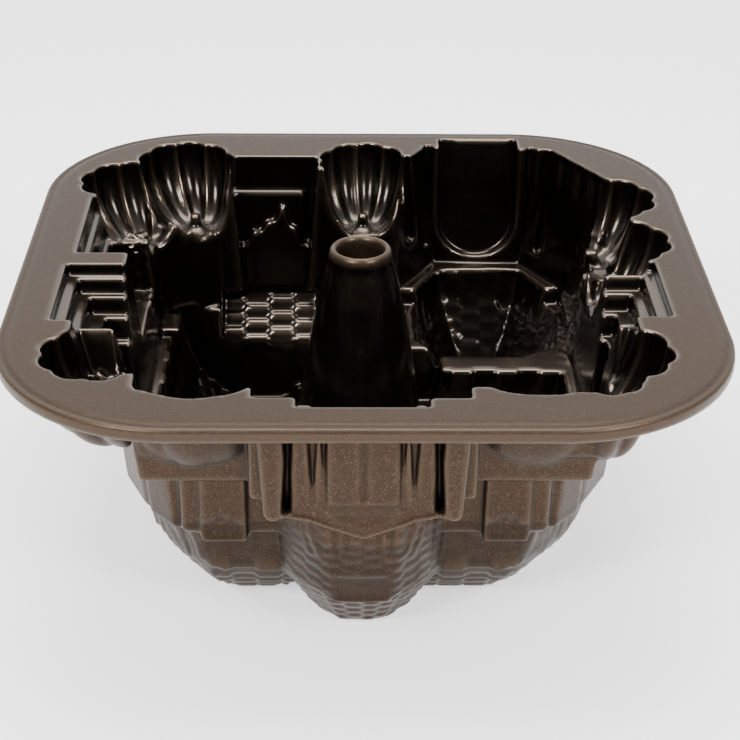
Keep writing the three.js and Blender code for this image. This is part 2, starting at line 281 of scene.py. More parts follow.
def stroke(points, width):
    """A line drawn on a wall through (u, depth) points."""
    def profile(u, depth):
        nearest = np.float32(FAR)
        for (ua, da), (ub, db) in zip(points, points[1:]):
            along = ((u - ua) * (ub - ua) + (depth - da) * (db - da))
            along = np.clip(along / ((ub - ua) ** 2 + (db - da) ** 2), 0, 1)
            gap = np.hypot(u - ua - along * (ub - ua), depth - da - along * (db - da))
            nearest = np.minimum(nearest, gap)
        return nearest - width / 2
    return profile


def under(points):
    """What lies below a line on a wall, such as the broken lower part of a pane."""
    us, depths = zip(*points)

    def profile(u, depth):
        return (np.interp(u, us, depths).astype(np.float32) - depth) * np.float32(0.8)
    return profile


# ---- the house, as the cake is seen upside down ----
HOUSE = [(-93, -56), (-84, -76), (-66, -96), (66, -96), (84, -76), (95, -56), (95, 92), (-64, 90),
         (-93, 76)]
LEFT_ROOF = [(-83, -56), (-74, -72), (-60, -87), (-10, -87), (-10, 80), (-83, 80)]
RIGHT_ROOF = [(10, -87), (60, -87), (74, -72), (85, -56), (85, 24), (10, 24)]
TOWER_TOP = [(10, 48), (30, 24), (74, 24), (103, 40), (106, 80), (86, 113), (28, 115.5), (10, 84)]
TOWER_EAVE = [(16, 50), (32, 30), (70, 30), (92, 44), (95, 77), (76, 113), (32, 112), (16, 84)]
TOWER_ROOF = [(21, 52), (34, 35), (68, 35), (87, 46), (90, 76), (73, 108), (35, 107), (21, 82)]
ROOF_CURVE = [(0, 62), (1.5, 74), (9, 94), (24, ROOF_DEPTH)]
PUMPKINS = [
    (-77, 100, 21, 0.2), (-100, 77, 20.5, 0.9), (1, 101, 19.5, 0.35), (103, 60, 21, 0.1),
    (104, 17, 20, 0.7), (89, -77, 21.5, 0.5), (-96, -79, 20.5, 0.3),
]
BAYS = [(-1, 116, -53.5, -6.5), (1, 114.5, -50, -3)]
BAY_STEPS = [
    (0, 5, 0, 0), (4.5, 11, 4.5, 3.5), (10.5, 18, 9, 7.5), (17.5, 27, 15, 11.5),
    (26.5, 52, 19, 15.5),
]


def house_shapes(grow):
    yield taper(HOUSE, 0, 64, 0.086, grow)
    yield roof(LEFT_ROOF, ROOF_CURVE, grow, SHINGLE_COURSE, SHINGLE_WIDTH, plain_sides=(4,),
               lap=SHINGLE_LAP)
    yield roof(RIGHT_ROOF, ROOF_CURVE, grow, SHINGLE_COURSE, SHINGLE_WIDTH, plain_sides=(5,),
               lap=SHINGLE_LAP)
    yield block(-20, 20, 20, 82, 62, 96, 0.18, grow)
    yield block(-36, 34, -66, 44, 62, 88, 0.12, grow)
    yield block(-57, -19, 60, 104.5, 0, 60, 0.083, grow)
    yield roof(box_outline(-62, -19, 40, 99.8), [(0, 58), (0.4, 60), (28, 88)], grow,
               step=5.3, width=11, plain_sides=(0, 1, 3), seed=3)
    yield block(-113.5, -70, 4.5, 60, 0, 8, 0.1, grow)
    yield block(-110.5, -70, 6, 60, 7.5, 20, 0.1, grow)
    yield block(-107, -70, 8, 56, 19.5, 42, 0.09, grow)
    yield block(-81, 81, -103.5, -70, 0, 36, 0.1, grow)


def tower_shapes(grow):
    yield taper(TOWER_TOP, 0, 56.5, 0, grow, TOWER_EAVE)
    yield roof(TOWER_ROOF, [(0, 54), (3, 70), (25, ROOF_DEPTH)], grow, 6, 9, lap=1.4)
    yield wall_pocket(arch_profile(17.5, 36), 80, 125.5, 0.148, (0, 54), 18, 53, grow)
    yield block(19, 25.5, 80, 106, 0, 40, 0.05, grow)
    for x, y in ((30.5, 116), (76.5, 113.5), (82, 111)):
        yield stem(x, y, 2.4, -3, 48, grow, 0.09)


def garden_shapes(grow):
    for x, y, radius, turn in PUMPKINS:
        tilt = (-0.06 * x, -0.06 * y)
        yield lobed(x, y, radius, radius, PUMPKIN_DEPTH, PUMPKIN_RIBS,
                    PUMPKIN_GROOVE, turn, grow, tilt)
    yield lobed(84, -96, 13, 13, 26, 8, 0.12, 0.4, grow)
    yield lobed(-60, -97, 21, 14.5, 28, 7, 0.06, 0.3, grow)
    yield lobed(60, -96, 21, 13, 28, 7, 0.06, 0.8, grow)
    for x0, x1, y0, y1, bottom in ((70, 111, 24, 60, 26), (70, 112, -6, 20, 22),
                                   (70, 101, -66, -48, 24), (-108, -70, -66, -50, 24),
                                   (-97, -66, 78, 97, 26)):
        yield block(x0, x1, y0, y1, 0, bottom, 0.3, grow)
    for x0, x1, y0 in ((-40, -24, -111), (20, 36, -111.5), (62, 86, -107), (-80, -66, -106)):
        yield block(x0, x1, y0, -80, 0, 24, 0.15, grow)


def bay_shapes(grow):
    for side, reach, y0, y1 in BAYS:
        for top, bottom, back, narrow in BAY_STEPS:
            x0, x1 = sorted((side * 70, side * (reach - back)))
            yield block(x0, x1, y0 + narrow, y1 - narrow, top, bottom, 0.08, grow)


def gable(u, depth):
    return np.maximum(np.abs(u) - 28, (depth - 54 + np.abs(u) * 0.39) * 0.93)


def porch_shapes(grow):
    yield wall_pocket(gable, -70, -109, 0.04, (-2, 54), 28, MIDDLE_X, grow)
    if grow:
        return
    yield block(-24.5, 21.5, -117.5, -70, 0, 4, 0.05, grow)
    yield wall_pocket(arch_profile(17.5, 36, 0.03), -70, -116.5, 0.05, (-2, 37), 17.5,
                      MIDDLE_X, grow)
    for side in (-1, 1):
        yield wall_pocket(arch_profile(3, 39, 0.03), -80, -110.5, 0.03, (-2, 42), 4,
                          MIDDLE_X + side * 31, grow)


def on_tower(x, y, depth):
    """Where a point is on the front tower: along its front, and out of the cake."""
    middle = -81 + 12 * np.clip((depth - 60) / 48, 0, 1.2)
    turn = np.arctan2(x - MIDDLE_X, middle - y)
    facet = np.cos(np.mod(turn + math.pi / 8, math.pi / 4) - math.pi / 8)
    radius = 28.2 - 0.03 * (depth - 40)
    return turn * 31, np.hypot(x - MIDDLE_X, y - middle) * (0.4 + 0.6 * facet) - radius


def round_tower(grow):
    def measure(x, y, depth):
        u, out = on_tower(x, y, depth)
        low = stairs(np.clip(depth - 88, 0, 30), u, 5.0, 7.6, 4.0)
        body = out + 0.46 * np.clip(low, 0, None) - 0.9 * laps(depth, u, 5.0, 7.6, 0)
        return np.maximum(body * 0.9, np.maximum(36 - depth, depth - ROOF_DEPTH)) - grow
    return ((MIDDLE_X - 29, MIDDLE_X + 29), (-111, -50), (36, ROOF_DEPTH)), measure


def tower_plate(u_span, d_span, out_span, profile=None):
    middle, half = (u_span[0] + u_span[1]) / 2, (u_span[1] - u_span[0]) / 2

    def measure(x, y, depth):
        u, out = on_tower(x, y, depth)
        worst = np.maximum(np.abs(u - middle) - half,
                           np.maximum(d_span[0] - depth, depth - d_span[1]))
        if profile:
            worst = np.maximum(worst, profile(u, depth))
        return np.maximum(worst, np.maximum(out - out_span[1], out_span[0] - out))
    return ((MIDDLE_X - 34, MIDDLE_X + 34), (-116, -60), d_span), measure


def cake_shapes(grow):
    for family in (house_shapes, tower_shapes, garden_shapes, bay_shapes, porch_shapes):
        yield from family(grow)
    yield round_tower(grow)


# ---- relief seen inside the pan ----
PANE = [(-60, 40), (-50.5, 40), (-48, 33), (-44.5, 34), (-41.7, 29), (-38.3, 29),
        (-34.6, 20), (-31.4, 31.7), (-29.2, 31), (-26.3, 40), (-19, 40)]


def inner_ledges():
    """Metal that stands out into the cavity."""
    yield plate(WINDOW, (-60, -25), (16, 62), (-2.2, 4))
    yield plate(WINDOW, (-60, -18), (16, 62), (-4.2, 4), under(PANE))
    for x, y, radius, turn in PUMPKINS:
        yield stem(x * 0.955, y * 0.955, 2.6, 24, 36, 0)
    for x, y in ((33, 109), (72, 112)):
        yield block(x - 5, x + 5, y - 6, y + 6, 57, 63, 0.5, 0)
    yield block(-92, -78, 52, 70, 60, 67, 0.6, 0)


def inner_hollows():
    """Relief on the cake: the metal is dented there."""
    trunk = [(-12, 0), (-9, 14), (-11, 27), (-6, 40), (-8, 54)]
    for u in (-9, 3, 13):
        yield plate(DIAGONAL, (u - 6, u + 6), (2, 54), (-3, 2.6),
                    stroke([(u + 9 + a, d) for a, d in trunk], 3.4))


def gnarl(x, y, depth):
    """A rough, knotted surface, in mm."""
    first = np.sin(0.52 * x + 2.1 * np.sin(0.31 * depth + 0.2 * y))
    second = np.sin(0.47 * y + 1.7 * np.sin(0.37 * depth - 0.3 * x) + 0.35 * depth)
    third = np.sin(1.1 * depth + 2.0 * np.sin(0.6 * x + 0.5 * y))
    return (0.55 * np.abs(first) + 0.5 * np.abs(second) + 0.25 * third) * np.float32(1.0)


def roughen(field):
    for spans in (((-104, -84), (40, 84), (14, 66)), ((82, 108), (28, 84), (20, 66)),
                  ((-96, -80), (-66, -54), (6, 60)), ((84, 100), (-62, -48), (20, 60))):
        cuts, x, y, depth = field.window(spans)
        fade = 1.0
        for axis, (low, high) in zip((x, y, depth), spans):
            fade = fade * np.clip(np.minimum(axis - low, high - axis) / 4, 0, 1)
        field.values[cuts] += (gnarl(x, y, depth) * fade).astype(np.float32)


# ---- relief seen outside the pan ----
def wedge(u0, u1, top, bottom):
    """A slot that is widest at the top and closes at its foot."""
    middle, half = (u0 + u1) / 2, abs(u1 - u0) / 2

    def profile(u, depth):
        return np.abs(u - middle) - half * (bottom - depth) / (bottom - top)
    return profile


def slot_down(wall, u0, u1, top, bottom, floor):
    return plate(wall, (u0 - 1, u1 + 1), (top, bottom), (floor, 9), wedge(u0, u1, top, bottom))


def outer_ribs():
    def column(side):
        def profile(u, depth):
            off = np.abs(u - MIDDLE_X - side * 31.6)
            low = np.hypot(off, depth - 42) - 3.2
            return np.where(depth > 42, low, off - 5.6 + 0.057 * depth)
        return profile

    def apron(u, depth):
        off = np.abs(u - MIDDLE_X)
        return np.where(depth > 42, (depth - 51 + off * 0.3) * 0.94, off - 25.2)

    yield plate(FRONT, (MIDDLE_X - 30, MIDDLE_X + 30), (-2, 54), (-14, 3.4), apron)
    yield plate(FRONT, (MIDDLE_X - 40, MIDDLE_X + 40), (-2, 41), (-16, -3.4))
    yield plate(FRONT, (MIDDLE_X - 12.6, MIDDLE_X + 12.6), (-2, 38.5), (-6, 5.0))
    for side in (-1, 1):
        yield plate(FRONT, (MIDDLE_X + side * 32 - 7, MIDDLE_X + side * 32 + 7), (-2, 46),
                    (-14, 5.0), column(side))
    lip = [(-30, 43), (-20, 44.5), (0, 52.5), (20, 44.5), (30, 43)]
    yield plate(FRONT, (MIDDLE_X - 31, MIDDLE_X + 31), (41, 55), (-14, 4.8),
                stroke([(u + MIDDLE_X, d) for u, d in lip], 1.8))
    yield plate(FRONT, (MIDDLE_X - 14, MIDDLE_X + 14), (40.4, 42), (-6, 4.6))
    yield plate(FRONT, (MIDDLE_X - 14, MIDDLE_X + 14), (40, 52), (-6, 4.6),
                stroke([(MIDDLE_X - 13, 41), (MIDDLE_X - 11, 44), (MIDDLE_X, 49),
                        (MIDDLE_X + 11, 44), (MIDDLE_X + 13, 41)], 1.4))
    for side in (-1, 1):
        yield tower_plate((-30, 30), (46, 70), (0, 4.6),
                          stroke([(side * 22, 46), (side * 20, 58), (side * 16, 68)], 2.0))
        yield tower_plate((-31, 31), (46, 70), (0, 4.6),
                          stroke([(side * 25, 46), (side * 24, 60), (side * 20, 70)], 1.8))
    yield tower_plate((-11, 11), (76, 92), (0, 4.5))
    for side in (-1, 1):
        u0, u1 = sorted((side * 43, side * 60))
        yield plate(FRONT_WING, (u0, u1), (41, 70), (-4, 3.2))
        u0, u1 = sorted((side * 60, side * 67))
        yield plate(FRONT_WING, (u0, u1), (41, 66), (-8, 1.2))
    for wall in (LEFT_CORNER, RIGHT_CORNER):
        yield plate(wall, (-8, 8), (42, 67), (0, 5.6))
    for wall, u0, u1 in ((LEFT_SIDE, -34, 52), (RIGHT_SIDE, -34, 90), (BACK_SIDE, -76, 12)):
        yield plate(wall, (u0, u1), (57, 60), (-4, 5.6))
        for u in np.arange(u0 + 5, u1 - 10, 17.0):
            yield plate(wall, (u, u + 11), (30, 54), (-4, 5.2))
    yield plate(FRONT_WING, (-70, 70), (32, 34.5), (-8, 5.6))
    yield plate(FRONT_WING, (-68, 68), (36.5, 40), (-8, 4.2))


def outer_grooves():
    for side in (-1, 1):
        for near, far, bottom, floor in ((12.2, 15.0, 42, -0.4), (15.6, 19.6, 47, -1.2),
                                         (24.2, 28.0, 52, -3.6)):
            u0, u1 = sorted((MIDDLE_X + side * near, MIDDLE_X + side * far))
            yield slot_down(FRONT, u0, u1, -2, bottom, floor)
        for near, far in ((4.6, 7.2), (8.2, 11.4)):
            u0, u1 = sorted((side * near, side * far))
            yield tower_plate((u0 - 1, u1 + 1), (54, 67), (1.2, 9), wedge(u0, u1, 50, 69))
        u0, u1 = sorted((side * 37.5, side * 41.5))
        yield slot_down(FRONT_WING, u0, u1, 41, 70, 0.2)
    yield plate(FRONT, (MIDDLE_X - 1.6, MIDDLE_X + 1.6), (8, 37), (3.0, 6),
                lambda u, depth: 1.0 - np.abs(np.abs(u - MIDDLE_X) - 1.1) * 2.2)
    yield tower_plate((-9.5, 9.5), (77.5, 90.5), (3.4, 9))
    for side in (-1, 1):
        u0, u1 = sorted((side * 44.5, side * 58.5))
        middle = (u0 + u1) / 2
        jag = [(u0, 61), (middle - 3, 60), (middle - 1, 57), (middle + 1, 60),
               (middle + 3, 58), (middle + 5, 62), (u1, 61)]
        yield plate(FRONT_WING, (u0, u1), (56, 68.5), (1.8, 9), under(jag))


# ---- centre tube and rim ----
TUBE_DEPTHS = [-4.5, -3.9, -2.2, 1.0, 4, 15, 33, 50, 68, 80, 90, 110]
TUBE_RADII = [10.9, 11.9, 12.4, 12.7, 13.5, 16.3, 19.8, 22.4, 24.8, 26.6, 31, 60]
BORE_DEPTHS = [-7, -4.4, -3.2, 0, 15, 33, 50, 68, 90, 110]
BORE_RADII = [11.6, 10.4, 9.4, 9.2, 13.0, 16.6, 19.4, 21.8, 25.4, 29]


def tube_body(x, y, depth):
    radius = np.interp(depth, TUBE_DEPTHS, TUBE_RADII).astype(np.float32)
    return np.maximum((np.hypot(x - MIDDLE_X, y) - radius) * 0.97, -(depth + 4.5))


def tube_bore(x, y, depth):
    radius = np.interp(depth, BORE_DEPTHS, BORE_RADII).astype(np.float32)
    return (np.hypot(x - MIDDLE_X, y) - radius) * 0.97


def rounded_square(x, y, half, radius):
    qx = np.abs(x) - (half - radius)
    qy = np.abs(y) - (half - radius)
    outside = np.hypot(np.maximum(qx, 0), np.maximum(qy, 0))
    return outside + np.minimum(np.maximum(qx, qy), 0) - radius


def rim_plate(x, y, depth):
    edge = rounded_square(x, y, RIM_HALF, RIM_RADIUS)
    plate_ = np.maximum(edge + 1.5, np.maximum(-depth, depth - RIM_THICKNESS))
    across = np.maximum(np.abs(edge + BEAD_WIDTH / 2) - BEAD_WIDTH / 2 + 1.6, 0)
    upright = np.maximum(np.abs(depth - BEAD_HEIGHT / 2) - BEAD_HEIGHT / 2 + 1.6, 0)
    bead = np.hypot(across, upright) - 1.6
    dip = np.maximum(np.abs(edge + 3.0) - 0.8, depth - 0.8)
    return np.maximum(np.minimum(plate_, bead), -dip)


def cast_field():
    """The casting as a distance field, and how far each point is from the cavity."""
    inner, outer = Field(), Field()
    for shape in cake_shapes(0.0):
        inner.join(shape)
    for shape in inner_hollows():
        inner.join(shape)
    for shape in inner_ledges():
        inner.cut(shape)
    roughen(inner)
    blur(inner.values, 1)
    for shape in cake_shapes(WALL):
        outer.join(shape)
    for shape in outer_ribs():
        outer.join(shape)
    for shape in outer_grooves():
        outer.cut(shape)
    blur(outer.values, 1)
    x, y = inner.x[:, None, None], inner.y[None, :, None]
    depth = RIM_TOP - inner.z[None, None, :]
    body = tube_body(x, y, depth)
    hollow = np.maximum(inner.values, -body)
    skin = np.minimum(outer.values, inner.values - THINNEST_WALL)
    whole = np.maximum(skin, RIM_THICKNESS / 2 - depth)
    whole = np.minimum(whole, rim_plate(x, y, depth))
    whole = np.maximum(whole, -hollow)
    whole = np.minimum(whole, np.maximum(body, depth - 8))
    whole = np.maximum(whole, -tube_bore(x, y, depth))
    outer.values = blur(whole.astype(np.float32), 1)
    inner.values = hollow.astype(np.float32)
    return outer, inner


def sample(field, values, points):
    """Trilinear value of a grid at points in mm."""
    spot = (points - (field.x[0], field.y[0], field.z[0])) / VOXEL
    limit = np.array(values.shape) - 1.001
    spot = np.clip(spot, 0, limit)
    low = spot.astype(np.int64)
    share = spot - low
    total = np.zeros(len(points))
    for corner in range(8):
        step = np.array([(corner >> i) & 1 for i in range(3)])
        weight = np.prod(np.where(step, share, 1 - share), axis=1)
        at = low + step
        total += weight * values[at[:, 0], at[:, 1], at[:, 2]]
    return total


# ---- one mesh, then one closed piece for each CAD node ----
def mesh_object(name, points, faces, sizes):
    mesh = bpy.data.meshes.new(name)
    mesh.vertices.add(len(points))
    mesh.vertices.foreach_set("co", (np.asarray(points) * MM).ravel())
    mesh.loops.add(len(faces))
    mesh.loops.foreach_set("vertex_index", faces)
    mesh.polygons.add(len(sizes))
    mesh.polygons.foreach_set("loop_start", np.concatenate(([0], np.cumsum(sizes)[:-1])))
    mesh.update(calc_edges=True)
    thing = bpy.data.objects.new(name, mesh)
    bpy.context.scene.collection.objects.link(thing)
    return thing


def whole_pan(field):
    grid = openvdb.FloatGrid(3.0)
    grid.copyFromArray(np.clip(field.values, -3, 3), tolerance=0.0)
    points, triangles, quads = grid.convertToPolygons(0.0, FLATNESS)
    points = points * VOXEL + (field.x[0], field.y[0], field.z[0])
    faces = np.concatenate([quads.ravel(), triangles.ravel()]).astype(np.int32)
    sizes = np.array([4] * len(quads) + [3] * len(triangles))
    return mesh_object("whole_pan", points, faces, sizes)


def box_cutter(name, low, high):
    corners = [[(low, high)[(i >> axis) & 1][axis] for axis in range(3)] for i in range(8)]
    faces = [0, 2, 3, 1, 4, 5, 7, 6, 0, 1, 5, 4, 2, 6, 7, 3, 0, 4, 6, 2, 1, 3, 7, 5]
    return mesh_object(name, np.array(corners, float), np.array(faces, np.int32), [4] * 6)


def rim_cutter():
    """Everything above the rim's underside, and the lip of the bead that hangs below it."""
    underside = RIM_TOP - RIM_THICKNESS
    low, high = RIM_TOP - BEAD_HEIGHT - 3, RIM_TOP + 30
    count = 48
    turn = np.arange(count) * 2 * math.pi / count
    direction = np.stack([np.cos(turn), np.sin(turn)], 1)
    half = RIM_HALF - RIM_RADIUS
    inner = np.sign(np.round(direction, 6)) * half + direction * (RIM_RADIUS - BEAD_WIDTH)
    outer = inner + direction * 40
    rings = [(inner, underside), (inner, low), (outer, low), (outer, high)]
    points = np.concatenate([np.column_stack([ring, np.full(count, z)]) for ring, z in rings])
    faces, sizes = [], []
    for level in range(3):
        for i in range(count):
            j = (i + 1) % count
            a, b = level * count, (level + 1) * count
            faces += [a + i, a + j, b + j, b + i]
            sizes.append(4)
    faces += list(range(count - 1, -1, -1)) + list(range(3 * count, 4 * count))
    sizes += [count, count]
    thing = mesh_object("rim_cutter", points, np.array(faces, np.int32), sizes)
    bm = bmesh.new()
    bm.from_mesh(thing.data)
    bmesh.ops.recalc_face_normals(bm, faces=bm.faces)
    bm.to_mesh(thing.data)
    bm.free()
    return thing


def carve(source, name, *steps):
    """A new object: source after each (operation, cutter) step."""
    thing = bpy.data.objects.new(name, source.data.copy())
    bpy.context.scene.collection.objects.link(thing)
    for operation, cutter in steps:
        boolean = thing.modifiers.new(operation, "BOOLEAN")
        boolean.operation = operation
        boolean.solver = "MANIFOLD"
        boolean.object = cutter
    done = bpy.data.meshes.new_from_object(thing.evaluated_get(
        bpy.context.evaluated_depsgraph_get()))
    thing.modifiers.clear()
    old = thing.data
    thing.data = done
    bpy.data.meshes.remove(old)
    return thing


WALLS = {
    "back_left_upper_pumpkin_wall": ((-REACH, -58), (88, REACH)),
    "back_left_lower_pumpkin_wall": ((-REACH, -58), (52, 88)),
    "back_window_wall": ((-58, -18), (52, REACH)),
    "back_pumpkin_wall": ((-18, 21), (52, REACH)),
    "back_arch_wall": ((21, 80), (52, REACH)),
    "back_right_pumpkin_corner": ((80, REACH), (38, REACH)),
    "right_pumpkin_wall": ((52, REACH), (-3, 38)),
    "right_bay_wall": ((52, REACH), (-58, -3)),
    "front_right_pumpkin_corner": ((77, REACH), (-REACH, -58)),
    "front_right_bush_wall": ((38, 77), (-REACH, -58)),
    "front_porch": ((-40, 38), (-REACH, -40)),
    "front_left_bush_wall": ((-78, -40), (-REACH, -58)),
    "front_left_pumpkin_corner": ((-REACH, -78), (-REACH, -58)),
    "left_bay_wall": ((-REACH, -52), (-58, 0)),
    "left_recess_wall": ((-REACH, -52), (0, 52)),
}
ROOFS = {
    "front_tower_roof": ((-34, 32), (-REACH, -44)),
    "front_left_roof": ((-REACH, -34), (-REACH, 0)),
    "back_left_roof": ((-REACH, -34), (0, REACH)),
    "back_middle_roof": ((-34, 14), (40, REACH)),
    "octagon_tower_roof": ((14, REACH), (40, REACH)),
    "front_right_roof": ((32, REACH), (-REACH, 40)),
    "tube_foot": ((-34, 32), (-44, 40)),
}
WALL_FOOT = RIM_TOP - WALL_FOOT_DEPTH
TUBE_FOOT = RIM_TOP - TUBE_FOOT_DEPTH
TUBE_ZONE = ((-30, 27), (-28, 28))


def region_cutter(name, spans, low, high):
    (x0, x1), (y0, y1) = spans
    return box_cutter(name, (x0, y0, low), (x1, y1, high))


def part_pan(pan):
    above = rim_cutter()
    tube = region_cutter("tube_zone", TUBE_ZONE, TUBE_FOOT, RIM_TOP + 30)
    pieces = {
        "rim_flange": carve(pan, "rim_flange_cast", ("INTERSECT", above), ("DIFFERENCE", tube)),
        "centre_tube": carve(pan, "centre_tube_cast", ("INTERSECT", tube)),
    }
    house = carve(pan, "house", ("DIFFERENCE", above), ("DIFFERENCE", tube))
    scrap = [above, tube, house, pan]
    for regions, low, high in ((WALLS, WALL_FOOT, RIM_TOP + 1), (ROOFS, -REACH, WALL_FOOT)):
        for name, spans in regions.items():
            cutter = region_cutter("cutter", spans, low, high)
            pieces[name] = carve(house, name + "_cast", ("INTERSECT", cutter))
            scrap.append(cutter)
    for thing in scrap:
        mesh = thing.data
        bpy.data.objects.remove(thing)
        bpy.data.meshes.remove(mesh)
    return pieces


def cap_faces(mesh, spots):
    """Faces left by the parting planes: flat ones that lie on a plane of some region."""
    planes = [sorted({v for spans in (*WALLS.values(), *ROOFS.values(), TUBE_ZONE)
                      for v in spans[axis]}) for axis in (0, 1)]
    planes.append([WALL_FOOT, TUBE_FOOT, RIM_TOP - RIM_THICKNESS])
    normals = np.zeros(len(mesh.polygons) * 3)
    mesh.polygons.foreach_get("normal", normals)
    normals = normals.reshape(-1, 3)
    starts = np.zeros(len(mesh.polygons), np.int32)
    mesh.polygons.foreach_get("loop_start", starts)
    flat = np.zeros(len(mesh.polygons), bool)
    for axis in range(3):
        level = np.array(planes[axis], float)
        near = np.abs(spots[:, axis:axis + 1] - level).min(axis=1) < PLANE_TOLERANCE
        worst = np.logical_and.reduceat(near, starts)
        flat |= worst & (np.abs(normals[:, axis]) > 0.999)
    return flat, normals


def finish_piece(thing, field, slopes, bends, hollow):
    """Smooth normals from the distance field, so that the parting planes don't show. For the
    coating: how near each point is to the cavity, and how sharply the surface bends there."""
    mesh = thing.data
    points = np.zeros(len(mesh.vertices) * 3)
    mesh.vertices.foreach_get("co", points)
    points = points.reshape(-1, 3) / MM
    corners = np.zeros(len(mesh.loops), np.int32)
    mesh.loops.foreach_get("vertex_index", corners)
    flat, face_normals = cap_faces(mesh, points[corners])
    smooth = np.stack([sample(field, slope, points) for slope in slopes], 1)
    smooth /= np.maximum(np.linalg.norm(smooth, axis=1, keepdims=True), 1e-9)
    normals = smooth[corners]
    sizes = np.zeros(len(mesh.polygons), np.int32)
    mesh.polygons.foreach_get("loop_total", sizes)
    owner = np.repeat(np.arange(len(mesh.polygons)), sizes)
    against = np.einsum("ij,ij->i", normals, face_normals[owner]) < 0.2
    plain = flat[owner] | against
    normals[plain] = face_normals[owner][plain]
    mesh.polygons.foreach_set("use_smooth", np.ones(len(mesh.polygons), bool))
    mesh.normals_split_custom_set(normals.tolist())
    distance = sample(field, hollow.values, points)
    inside = 1 - np.clip((distance - COATING_DEPTH) / COATING_FADE, 0, 1)
    bend = np.clip(sample(field, bends, points), -1, 1)
    for attribute, value in (("inside", inside), ("bend", bend)):
        layer = mesh.attributes.new(attribute, "FLOAT", "POINT")
        layer.data.foreach_set("value", value.astype(np.float32))


# ---- coating ----
INSIDE_DARK = (0.017, 0.0125, 0.009)
INSIDE_PALE = (0.026, 0.019, 0.0138)
# Painted highlight colour for the cavity, laid on its raised edges and its upward-facing
# surfaces.
INSIDE_HIGHLIGHT_PAINT = (0.2, 0.15, 0.108)


def node(tree, kind, **values):
    made = tree.nodes.new(kind)
    for name, value in values.items():
        if name in made.inputs:
            made.inputs[name].default_value = value
        else:
            setattr(made, name, value)
    return made


def ramp(tree, source, low, high, start, end):
    spread = node(tree, "ShaderNodeMapRange")
    spread.inputs["From Min"].default_value = low
    spread.inputs["From Max"].default_value = high
    spread.inputs["To Min"].default_value = start
    spread.inputs["To Max"].default_value = end
    tree.links.new(source, spread.inputs["Value"])
    return spread.outputs["Result"]


def blend(tree, share, first, second):
    mix = node(tree, "ShaderNodeMix", data_type="RGBA")
    tree.links.new(share, mix.inputs["Factor"])
    for socket, value in (("A", first), ("B", second)):
        slot = [s for s in mix.inputs if s.name == socket and s.type == "RGBA"][0]
        if isinstance(value, tuple):
            slot.default_value = (*value, 1)
        else:
            tree.links.new(value, slot)
    return [s for s in mix.outputs if s.type == "RGBA"][0]


def coating(name, outside, sparkle, outside_rough):
    """Bronze non-stick coat: satin with a fine metallic fleck outside, glossy and much darker
    inside the cavity. Raised edges get a painted highlight and creases painted shade; inside,
    raised edges and upward-facing surfaces get a painted highlight."""
    material = bpy.data.materials.new(name)
    material.use_nodes = True
    tree = material.node_tree
    shader = tree.nodes["Principled BSDF"]
    place = node(tree, "ShaderNodeTexCoord").outputs["Object"]
    inside = node(tree, "ShaderNodeAttribute", attribute_name="inside").outputs["Fac"]
    bend = node(tree, "ShaderNodeAttribute", attribute_name="bend").outputs["Fac"]

    def noise(scale, detail, rough=0.5):
        made = node(tree, "ShaderNodeTexNoise", Scale=scale, Detail=detail, Roughness=rough)
        tree.links.new(place, made.inputs["Vector"])
        return made.outputs["Fac"]

    fleck, mottle, cloud = noise(1700, 1.0, 0.7), noise(620, 3.0, 0.65), noise(28, 3.0)
    # The third colour serves both the coat's real metallic fleck and the painted edge highlights.
    dark, pale, fleck_and_highlight = outside
    base = blend(tree, ramp(tree, mottle, 0.3, 0.7, 0, 1), dark, pale)
    base = blend(tree, ramp(tree, fleck, 0.58, 0.72, 0, sparkle), base, fleck_and_highlight)
    # Painted highlight: raised (convex) edges are blended towards the pale fleck colour.
    base = blend(tree, ramp(tree, bend, 0.12, 0.6, 0, 0.4), base, fleck_and_highlight)
    # Painted shade: concave creases are blended towards near-black.
    base = blend(tree, ramp(tree, bend, -0.1, -0.5, 0, 0.7), base, (0.012, 0.009, 0.007))
    deep = blend(tree, ramp(tree, cloud, 0.35, 0.65, 0, 1), INSIDE_DARK, INSIDE_PALE)
    # Painted highlight: raised edges in the cavity are blended towards the painted highlight
    # colour.
    deep = blend(tree, ramp(tree, bend, 0.12, 0.6, 0, 0.6), deep, INSIDE_HIGHLIGHT_PAINT)
    # Painted highlight from overhead light: cavity surfaces that face up are blended towards the
    # painted highlight colour.
    facing = node(tree, "ShaderNodeSeparateXYZ")
    tree.links.new(node(tree, "ShaderNodeNewGeometry").outputs["Normal"], facing.inputs["Vector"])
    deep = blend(tree, ramp(tree, facing.outputs["Z"], 0.8, 0.97, 0, 0.3), deep, INSIDE_HIGHLIGHT_PAINT)
    tree.links.new(blend(tree, inside, base, deep), shader.inputs["Base Color"])
    rough = node(tree, "ShaderNodeMix", data_type="FLOAT")
    tree.links.new(inside, rough.inputs["Factor"])
    tree.links.new(ramp(tree, mottle, 0.3, 0.7, outside_rough - 0.05, outside_rough + 0.07),
                   rough.inputs["A"])
    tree.links.new(ramp(tree, cloud, 0.3, 0.7, 0.22, 0.3), rough.inputs["B"])
    tree.links.new(rough.outputs["Result"], shader.inputs["Roughness"])
    tree.links.new(ramp(tree, inside, 0, 1, 0.7, 0.97), shader.inputs["Metallic"])
    shader.inputs["Specular IOR Level"].default_value = 0.22
    tree.links.new(ramp(tree, inside, 0, 1, 0.0, 0.4), shader.inputs["Coat Weight"])
    shader.inputs["Coat Roughness"].default_value = 0.12
    shader.inputs["Coat IOR"].default_value = 1.5
    grain = node(tree, "ShaderNodeBump", Strength=0.2, Distance=0.0001)
    height = node(tree, "ShaderNodeMath", operation="MULTIPLY")
    tree.links.new(mottle, height.inputs[0])
    tree.links.new(ramp(tree, inside, 0, 1, 1, 0.1), height.inputs[1])
    tree.links.new(height.outputs["Value"], grain.inputs["Height"])
    tree.links.new(grain.outputs["Normal"], shader.inputs["Normal"])
    return material


